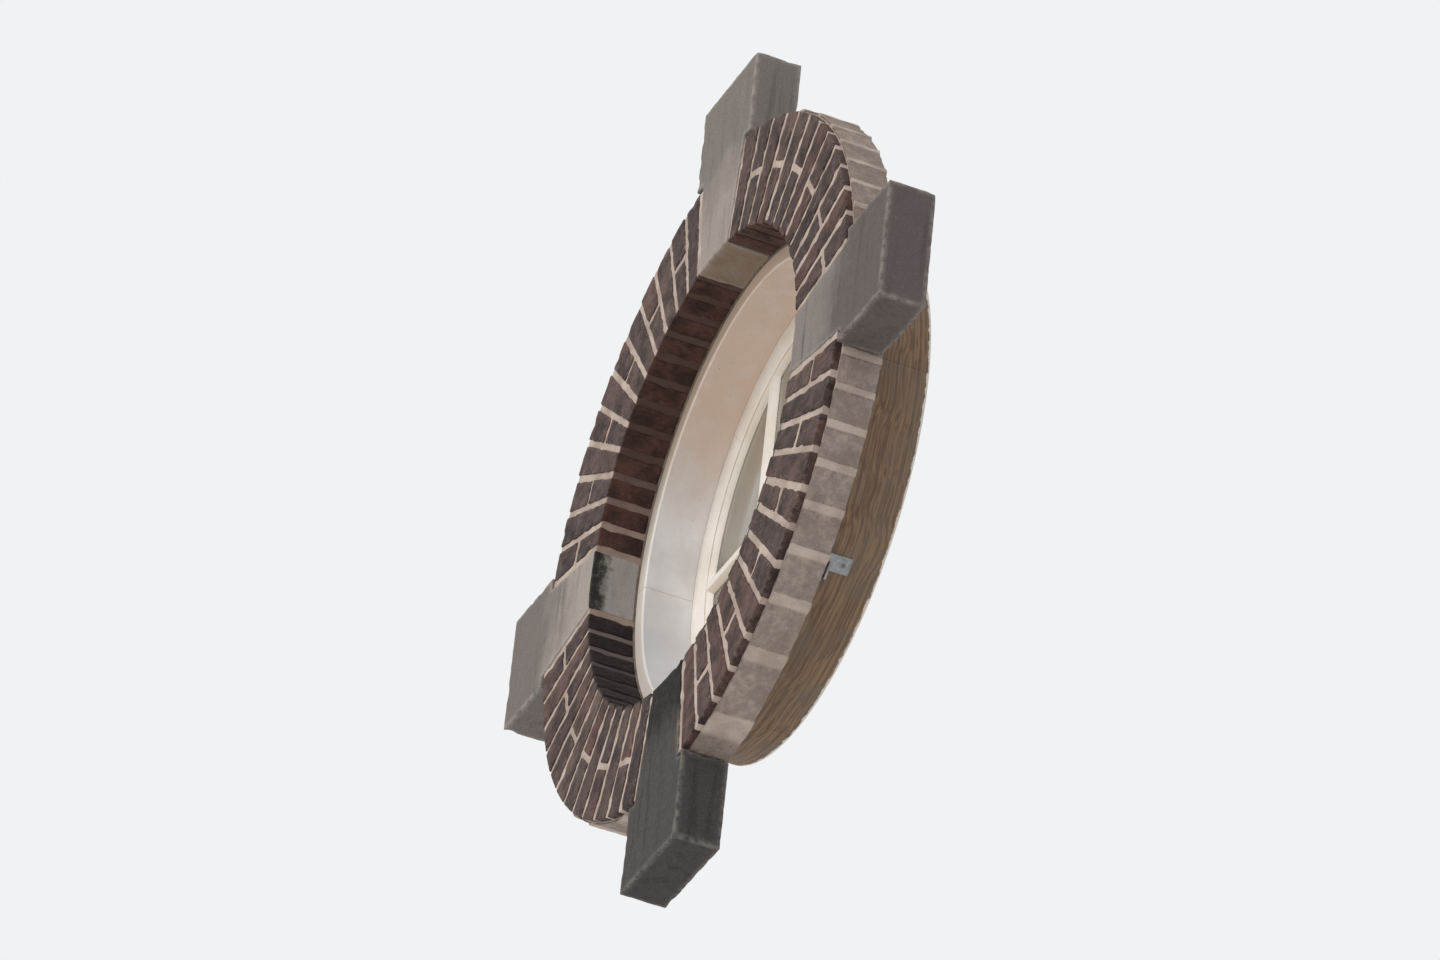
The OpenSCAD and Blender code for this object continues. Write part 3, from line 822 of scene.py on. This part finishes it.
def member_tree():
    """Sweeps a section with eased corners along part of a circle that stands upright. The rings
    are squared to the circle, and the end ones are drawn in towards the section's middle, so that
    two timbers meet in a fine V."""
    tree, given = new_tree("round_member", [
        ("Radius", "Float"), ("Start", "Float"), ("Sweep", "Float"), ("Steps", "Int"),
        ("Corner", "Float"), ("Chamfer", "Float"), ("Middle", "Vector")])
    section = made(tree, "GeometryNodeMeshToCurve", {"Mesh": given["Geometry"]})
    eased = made(tree, "GeometryNodeFilletCurve", {
        "Curve": section, "Count": 2, "Radius": given["Corner"], "Limit Radius": True,
    }, mode="POLY")
    arc = made(tree, "GeometryNodeCurveArc", {
        "Resolution": given["Steps"], "Radius": given["Radius"],
        "Start Angle": given["Start"], "Sweep Angle": given["Sweep"]}, mode="RADIUS")
    level = made(tree, "GeometryNodeSetCurveNormal", {"Curve": arc}, mode="Z_UP")
    noted = made(tree, "GeometryNodeStoreNamedAttribute", {
        "Geometry": level, "Name": "way", "Value": made(tree, "GeometryNodeSplineParameter"),
    }, data_type="FLOAT", domain="POINT")
    swept = made(tree, "GeometryNodeCurveToMesh", {
        "Curve": noted, "Profile Curve": eased, "Fill Caps": True})
    last = calc(tree, "SUBTRACT", given["Steps"], 1.0)
    way = made(tree, "GeometryNodeInputNamedAttribute", {"Name": "way"})
    ring = times(tree, last, way)
    at_end = calc(tree, "MAXIMUM", calc(tree, "LESS_THAN", ring, 0.5), calc(
        tree, "GREATER_THAN", ring, calc(tree, "SUBTRACT", last, 0.5)))
    share = calc(
        tree, "DIVIDE", calc(tree, "SUBTRACT", ring, 1.0), calc(tree, "SUBTRACT", last, 2.0))
    margin = times(tree, calc(tree, "SUBTRACT", 1.0, at_end), calc(
        tree, "DIVIDE", given["Chamfer"], given["Radius"]))
    angle = calc(tree, "MULTIPLY_ADD", share, given["Sweep"], given["Start"])
    angle = calc(tree, "MAXIMUM", angle, calc(tree, "ADD", given["Start"], margin))
    angle = calc(tree, "MINIMUM", angle, calc(tree, "SUBTRACT", calc(
        tree, "ADD", given["Start"], given["Sweep"]), margin))
    place = axes_of(tree, made(tree, "GeometryNodeInputPosition"))
    middle = axes_of(tree, given["Middle"])
    out = calc(tree, "SQRT", calc(
        tree, "ADD", times(tree, place[0], place[0]), times(tree, place[1], place[1])))
    drawn_in = times(tree, at_end, calc(tree, "DIVIDE", given["Chamfer"], HALF_SECTION))
    out = calc(tree, "MULTIPLY_ADD", calc(tree, "SUBTRACT", middle[0], out), drawn_in, out)
    depth = calc(
        tree, "MULTIPLY_ADD", calc(tree, "SUBTRACT", middle[1], place[2]), drawn_in, place[2])
    squared = made(tree, "GeometryNodeSetPosition", {"Geometry": swept, "Position": vector_of(
        tree, times(tree, out, calc(tree, "COSINE", angle)),
        times(tree, out, calc(tree, "SINE", angle)), depth)})
    upright = made(tree, "GeometryNodeTransform", {
        "Geometry": squared, "Rotation": (math.pi / 2, 0, 0)})
    return close_tree(tree, upright, given)


def even_shading(obj):
    """Points faces outwards and keeps flat faces flat between their eased corners."""
    bm = bmesh.new()
    bm.from_mesh(obj.data)
    bmesh.ops.remove_doubles(bm, verts=bm.verts, dist=MERGE_DIST)
    bmesh.ops.recalc_face_normals(bm, faces=bm.faces)
    bm.to_mesh(obj.data)
    bm.free()
    obj.data.shade_smooth()
    obj.data.set_sharp_from_angle(angle=FLAT_ANGLE)
    weighted = obj.modifiers.new("weighted", "WEIGHTED_NORMAL")
    weighted.keep_sharp = True
    return settle(obj)


def member(name, section, middle, start, sweep, material):
    """A curved timber with the given section of radii and depths, from one angle on."""
    base_r = section[0][0]
    mesh = bpy.data.meshes.new(name)
    count = len(section)
    mesh.from_pydata([(r - base_r, y, 0.0) for r, y in section],
                     [(i, (i + 1) % count) for i in range(count)], [])
    obj = add_object(name, mesh)
    gap = BUTT_GAP / base_r
    return grow(obj, round_member, {
        "Radius": base_r, "Start": start + gap, "Sweep": sweep - 2 * gap, "Steps": ARC_STEPS,
        "Corner": PAINTED_CORNER, "Chamfer": JOINT_CHAMFER, "Middle": (middle[0], -middle[1], 0),
        "Material": material})


def plate_outline(radius, steps=12):
    """Outline of a retaining plate, with round ends about its two screws."""
    ends = []
    for centre, first in ((FRAME_SCREW_R, -math.pi / 2), (SASH_SCREW_R, math.pi / 2)):
        ends += [(centre + radius * math.cos(first + math.pi * i / steps),
                  radius * math.sin(first + math.pi * i / steps)) for i in range(steps + 1)]
    return ends


def frame_pockets():
    """What is cut out of the frame for the retaining plates and for the seats of the ties."""
    bm = bmesh.new()
    for i in range(PLATES):
        prism(bm, plate_outline(PLATE_R + PLATE_PLAY), SASH_BACK, FRAME_BACK + CUT_OVER,
              (i + 0.5) * 2 * math.pi / PLATES)
    floor_r, over_r, half = FRAME_R - TIE_SEAT, FRAME_R + CUT_OVER, TIE_W / 2
    seat = [(floor_r, -half), (over_r, -half), (over_r, half), (floor_r, half)]
    for i in range(4):
        prism(bm, seat, TIE_FRONT, TIE_FRONT + TIE_LEG, (i + 0.5) * math.pi / 2)
    return solid_of("pockets", bm)


def cut(obj, cutter):
    """Takes the cutter's solids out of the object."""
    modifier = obj.modifiers.new("cut", "BOOLEAN")
    modifier.operation = "DIFFERENCE"
    modifier.solver = "EXACT"
    modifier.object = cutter
    return settle(obj)


def bare_timber(tree, parts, radius, where):
    """Colour and height of unpainted timber, with its grain along the curve and a grey film."""
    drift = times(tree, mottle(tree, where, 0.22, 2.0), 0.05)
    grain = vector_of(tree, radius, calc(tree, "ADD", parts[1], drift), drift)
    rings = mottle(tree, grain, 0.0045, 3.0, 0.6)
    colour = stain(tree, spread(tree, rings, 0.4, 0.62), tint("#94775b"), tint("#6a5140"))
    film = spread(tree, mottle(tree, where, 0.09, 4.0), 0.4, 0.7, 0.1, 0.6)
    return stain(tree, film, colour, tint("#756b60")), rings


def paint_finish(name, colour, grime, tan, run, bare=False):
    """Old brushed paint on timber, grimy, with a tan of painted warm bounce light where it faces
    down. The brush ran round the window, or along X or Z. If bare, its hidden sides are plain wood,
    its bore is painted with cool sky light towards the bottom, and its front with warm bounce light
    towards the top."""
    material, tree, where, shader = new_finish(name, Specular_IOR_Level=0.45)
    parts = axes_of(tree, where)
    radius = distance_out(tree, where)
    slow = mottle(tree, where, 0.16, 2.0)
    across = {"round": radius, "x": parts[2], "z": parts[0]}[run]
    strokes = vector_of(tree, across, parts[1], times(tree, slow, 0.03))
    brush = mottle(tree, strokes, 0.0016, 3.0, 0.6)
    body = stain(tree, spread(tree, mottle(tree, where, 0.09, 4.0), 0.35, 0.7),
                 tint(colour), tint(grime))
    body = blotched(tree, body, (brush, 0.55, 0.75, 0.35, grime))
    rise = axes_of(tree, put(tree, "ShaderNodeNewGeometry").outputs["Normal"])[2]
    # Faces that point down take a tan: painted warm light bounced up from below.
    under = times(tree, spread(tree, rise, -0.15, -0.85),
                  spread(tree, mottle(tree, where, 0.05, 4.0), 0.2, 0.6, 0.5, 0.9))
    body = stain(tree, under, body, tint(tan))
    dust = times(tree, spread(tree, rise, 0.35, 0.95),
                 spread(tree, mottle(tree, where, 0.02, 5.0, 0.7), 0.4, 0.7, 0.1, 0.45))
    body = stain(tree, dust, body, tint("#aaa39a"))
    specks = mottle(tree, where, 0.004, 2.0, 0.6)
    body = blotched(tree, body, (specks, 0.7, 0.76, 0.7, "#7d7468"))
    bumps = relief(tree, brush, 0.0004)
    bumps = relief(tree, mottle(tree, where, 0.018, 3.0), 0.0006, bumps)
    rough = spread(tree, brush, 0.3, 0.7, 0.38, 0.58)
    if bare:
        edge = calc(tree, "MULTIPLY_ADD", mottle(tree, where, 0.02, 4.0), 0.012, parts[1])
        hidden = times(tree, spread(tree, radius, OPENING_R, OPENING_R + 0.002),
                       spread(tree, edge, FRAME_BACK + 0.003, FRAME_BACK + 0.001))
        # The bore turns bluish towards its bottom: painted cool sky light.
        body = blotched(tree, body, (parts[2], *COOL_LIGHT_HEIGHTS, 0.6, "#cecfd4"))
        # Outside the bore the front is painted tan towards the top and front: painted warm bounce
        # light in the ring's shade.
        warm_bounce = times(
            tree, spread(tree, parts[2], *WARM_BOUNCE_HEIGHTS), spread(tree, parts[1], *WARM_BOUNCE_DEPTHS))
        body = stain(tree, spread(tree, radius, BORE_R + 0.001, BORE_R + 0.003, 0.0, 0.85),
                     body, stain(tree, warm_bounce, tint("#dfd6cb"), tint("#d9bda2")))
        timber, rings = bare_timber(tree, parts, radius, where)
        body = stain(tree, hidden, body, timber)
        bumps = relief(tree, times(tree, rings, hidden), 0.0012, bumps)
        rough = calc(tree, "MULTIPLY_ADD", hidden, 0.3, rough)
    drive(tree, shader, Base_Color=body, Normal=bumps, Roughness=rough)
    return material


round_member = member_tree()
# Paint, grime, and the tan of painted warm bounce light under faces that point down.
frame_paint = paint_finish("frame_paint", "#faf9f9", "#e8e5e4", "#e4c8b2", "round", bare=True)
frame_section = [
    (BORE_R, SASH_FRONT), (BORE_R, FRAME_FRONT + BORE_ARRIS), (BORE_R + BORE_ARRIS, FRAME_FRONT),
    (FRAME_R, FRAME_FRONT), (FRAME_R, FRAME_BACK), (REBATE_R, FRAME_BACK), (REBATE_R, SASH_FRONT)]
pockets = frame_pockets()
for i, quarter in enumerate(QUARTERS):
    timber = member("painted_frame_" + quarter, frame_section, FRAME_MIDDLE, i * math.pi / 2,
                    math.pi / 2, frame_paint)
    even_shading(cut(timber, pockets))
    keep(timber, "frame_paint", "frame_segment_" + quarter)
bpy.data.objects.remove(pockets)


# The sash: a round of four curved timbers, with its joints halfway between the frame's. It is
# rebated in front for glass and putty, moulded behind, and painted cream.
SIGHT_R = 0.333
GLAZE_R = SIGHT_R + 0.012
SASH_R = BORE_R + 0.011
GLASS_FRONT = SASH_FRONT + 0.012
GLASS_BACK = GLASS_FRONT + 0.004
SASH_ARRIS = 0.007
SASH_MIDDLE = (0.380, 0.200)
# Paint, grime, and the tan of painted warm bounce light under faces that point down.
SASH_COLOURS = ("#fbf5ee", "#f0e7dc", "#e9d6c0")

sash_paint = paint_finish("sash_paint", *SASH_COLOURS, "round")
sash_section = [
    (GLAZE_R, SASH_FRONT), (SASH_R, SASH_FRONT), (SASH_R, SASH_BACK),
    (SIGHT_R + SASH_ARRIS, SASH_BACK), (SIGHT_R, SASH_BACK - SASH_ARRIS), (SIGHT_R, GLASS_BACK),
    (GLAZE_R, GLASS_BACK)]
for i, side in enumerate(SIDES):
    timber = even_shading(member("painted_sash_" + side, sash_section, SASH_MIDDLE,
                                 (i - 0.5) * math.pi / 2, math.pi / 2, sash_paint))
    keep(timber, "sash_paint", "sash_segment_" + side)


# The glazing bars: one across and two upright, halved into each other where they cross. They
# are moulded behind the glass, with a narrow nose between the putties in front.
BAR_EASE = 0.0008
EASED_ANGLE = math.radians(28)


def eased_copy(name, node, slot, width, material):
    """A piece with a node's own shape: its triangles merged, its flats whole, its edges eased."""
    bm = bmesh.new()
    bm.from_mesh(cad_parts[node].data)
    bmesh.ops.remove_doubles(bm, verts=bm.verts, dist=MERGE_DIST)
    bmesh.ops.dissolve_limit(bm, angle_limit=math.radians(0.5), verts=bm.verts, edges=bm.edges)
    obj = solid_of(name, bm)
    obj.data.shade_smooth()
    easing = obj.modifiers.new("easing", "BEVEL")
    easing.width = width
    easing.segments = 2
    easing.limit_method = "ANGLE"
    easing.angle_limit = EASED_ANGLE
    easing.harden_normals = True
    settle(obj)
    obj.data.materials.append(material)
    keep(obj, slot, node)


upright_paint = paint_finish("upright_bar_paint", *SASH_COLOURS, "z")
cross_paint = paint_finish("cross_bar_paint", *SASH_COLOURS, "x")
for which, paint in (("left", upright_paint), ("right", upright_paint), ("cross", cross_paint)):
    eased_copy("painted_bar_" + which, "glazing_bar_" + which, "sash_paint", BAR_EASE, paint)


# The glazing: six panes of drawn glass, a little wavy and filmed with dust, each in a bevel of
# linseed putty that was knifed smooth against the bars and painted over with the sash.
LIGHTS = [f"{row}_{column}" for row in ("upper", "lower") for column in ("left", "middle", "right")]
BAR_OFFSET = 0.133
BAR_HALF_W = 0.018
RIM_DIRT_W = 0.045
BAR_DIRT_W = 0.035
PUTTY_EASE = 0.0006

glass_finish, tree, where, shader = new_finish("drawn_glass", IOR=1.5, Transmission_Weight=0.8)
parts = axes_of(tree, where)
x, z = (calc(tree, "ABSOLUTE", part) for part in (parts[0], parts[2]))
beside = calc(tree, "ABSOLUTE", calc(tree, "SUBTRACT", x, BAR_OFFSET))
film = mottle(tree, where, 0.05, 5.0, 0.65)
rim = spread(tree, distance_out(tree, where), SIGHT_R - RIM_DIRT_W, SIGHT_R)
for gap in (beside, z):
    rim = calc(tree, "ADD", rim, spread(tree, gap, BAR_HALF_W + BAR_DIRT_W, BAR_HALF_W))
runs = mottle(tree, stretch(tree, where, (1, 1, 0.15)), 0.02, 4.0)
dirt = times(tree, rim, spread(tree, mottle(tree, where, 0.12, 5.0), 0.42, 0.7, 0.04, 0.5))
dirt = calc(tree, "MAXIMUM", dirt, spread(tree, runs, 0.5, 0.75, 0.0, 0.35))
clean = stain(tree, film, tint("#b8b3a9"), tint("#cac5bb"))
drive(tree, shader,
      Base_Color=stain(tree, dirt, clean, tint("#958c7f")),
      Roughness=spread(tree, dirt, 0.0, 1.0, 0.03, 0.4),
      Normal=relief(tree, mottle(tree, where, 0.11, 1.0), 0.0008))

putty_paint = paint_finish("putty_paint", "#f7efe6", "#e9dfd2", "#e2cfb8", "round")
for light in LIGHTS:
    finish_node("pane_" + light, glass_finish)
    eased_copy("painted_putty_" + light, "putty_" + light, "putty", PUTTY_EASE, putty_paint)


# The ties and the retaining plates: four bent flat bars screwed to the frame's rim reach into
# the wall, and eight small plates behind hold the sash in its rebate. All are galvanised steel.
STEEL_EASE = 0.0005


def steel_finish(name, pale, dark, cell, rough):
    """Galvanised or plain steel: metal in patches of slightly different grey, dulled by age."""
    material, tree, where, shader = new_finish(name, Metallic=0.85)
    patches = put(tree, "ShaderNodeTexVoronoi", {"Vector": where, "Scale": 1 / cell})
    bloom = mottle(tree, where, 0.012, 5.0, 0.7)
    body = blotched(
        tree, stain(tree, patches.outputs["Color"], tint(pale), tint(dark)),
        (bloom, 0.55, 0.75, 0.6, "#b9bab8"),
        (mottle(tree, where, 0.005, 4.0), 0.66, 0.76, 0.5, "#6b4a36"))
    drive(tree, shader, Base_Color=body,
          Roughness=spread(tree, bloom, 0.3, 0.7, rough, rough + 0.25),
          Normal=relief(tree, mottle(tree, where, 0.003, 4.0), 0.0003))
    return material


galvanised = steel_finish("galvanised_steel", "#a9abad", "#84878a", 0.006, 0.4)
eased_copy("steel_ties", "frame_ties", "tie_steel", STEEL_EASE, galvanised)
eased_copy("steel_plates", "retaining_plates", "tie_steel", STEEL_EASE, galvanised)


# The screws: slotted wood screws with countersunk heads, two in each plate and two in each tie.
# They were driven by hand, so their slots stand at any angle.
SCREW_HEAD_R = 0.0045
SCREW_SHANK_R = 0.00225
SCREW_LEN = 0.030
SLOT_W = 0.0011
SLOT_DEPTH = 0.0011
SLOT_REACH = 0.006
HEAD_EASE = 0.0003
POINT_LEN = 0.006
POINT_R = 0.0004
SCREW_SIDES = 28
PLATE_FACE = SASH_BACK + 0.003
TIE_FACE = FRAME_R - TIE_SEAT + 0.004
TIE_SCREW_SHARES = (0.35, 0.8)


def turned_screw(name):
    """A screw with its head's face at the origin, facing along Y, and its slot along X."""
    head_h = SCREW_HEAD_R - SCREW_SHANK_R
    outline = [
        (SCREW_HEAD_R - HEAD_EASE, 0.0), (SCREW_HEAD_R, -HEAD_EASE), (SCREW_SHANK_R, -head_h),
        (SCREW_SHANK_R, POINT_LEN - SCREW_LEN), (POINT_R, -SCREW_LEN)]
    bm = bmesh.new()
    rings = [[bm.verts.new(set_out(r, y, 2 * math.pi * i / SCREW_SIDES))
              for i in range(SCREW_SIDES)] for r, y in outline]
    bm.faces.new(rings[0])
    bm.faces.new(rings[-1][::-1])
    for upper, lower in zip(rings, rings[1:]):
        for i in range(SCREW_SIDES):
            after = (i + 1) % SCREW_SIDES
            bm.faces.new((upper[i], lower[i], lower[after], upper[after]))
    obj = solid_of(name, bm)
    bm = bmesh.new()
    bar = [(x * SLOT_REACH, z * SLOT_W / 2) for x, z in ((-1, -1), (1, -1), (1, 1), (-1, 1))]
    prism(bm, bar, -SLOT_DEPTH, 0.001, 0.0)
    slot = solid_of("slot", bm)
    cut(obj, slot)
    bpy.data.objects.remove(slot)
    obj.data.shade_smooth()
    obj.data.set_sharp_from_angle(angle=math.radians(30))
    return obj


def screw_tree():
    """Sets a screw at every point, aimed by the point's turn and spun about its own axis."""
    tree, given = new_tree("driven_screws", [("Screw", "Object"), ("Seed", "Int")])
    aim = made(tree, "GeometryNodeInputNamedAttribute", {"Name": "turn"}, data_type="FLOAT_VECTOR")
    screw = put(tree, "GeometryNodeObjectInfo", {"Object": given["Screw"]}).outputs["Geometry"]
    copies = made(tree, "GeometryNodeInstanceOnPoints", {
        "Points": given["Geometry"], "Instance": screw, "Rotation": aim})
    spin = vector_of(tree, y=between(tree, 0.0, math.pi, given["Seed"]))
    spun = made(tree, "GeometryNodeRotateInstances", {"Instances": copies, "Rotation": spin})
    return close_tree(tree, spun, given)


def driven(name, places, tree, seed, slot, node):
    """Screws at places, each a point and the turn that aims the head."""
    mesh = bpy.data.meshes.new(name)
    mesh.from_pydata([point for point, _ in places], [], [])
    turn = mesh.attributes.new("turn", "FLOAT_VECTOR", "POINT")
    for value, (_, aim) in zip(turn.data, places):
        value.vector = aim
    obj = add_object(name, mesh)
    grow(obj, tree, {"Screw": screw, "Seed": seed, "Material": screw_finish})
    keep(obj, slot, node)


screw_finish = steel_finish("screw_steel", "#8b8c8e", "#6f7073", 0.003, 0.35)
screw = turned_screw("screw")
screws = screw_tree()
plate_places = [
    (set_out(r, PLATE_FACE, (i + 0.5) * 2 * math.pi / PLATES), (0, 0, 0))
    for i in range(PLATES) for r in (SASH_SCREW_R, FRAME_SCREW_R)]
tie_places = []
for i in range(4):
    angle = (i + 0.5) * math.pi / 2
    aim = (Matrix.Rotation(-angle, 3, "Y") @ Matrix.Rotation(-math.pi / 2, 3, "Z")).to_euler()
    for share in TIE_SCREW_SHARES:
        tie_places.append((set_out(TIE_FACE, TIE_FRONT + share * TIE_LEG, angle), tuple(aim)))
driven("plate_wood_screws", plate_places, screws, 3, "screw_steel", "plate_screws")
driven("tie_wood_screws", tie_places, screws, 8, "screw_steel", "tie_screws")
bpy.data.objects.remove(screw)
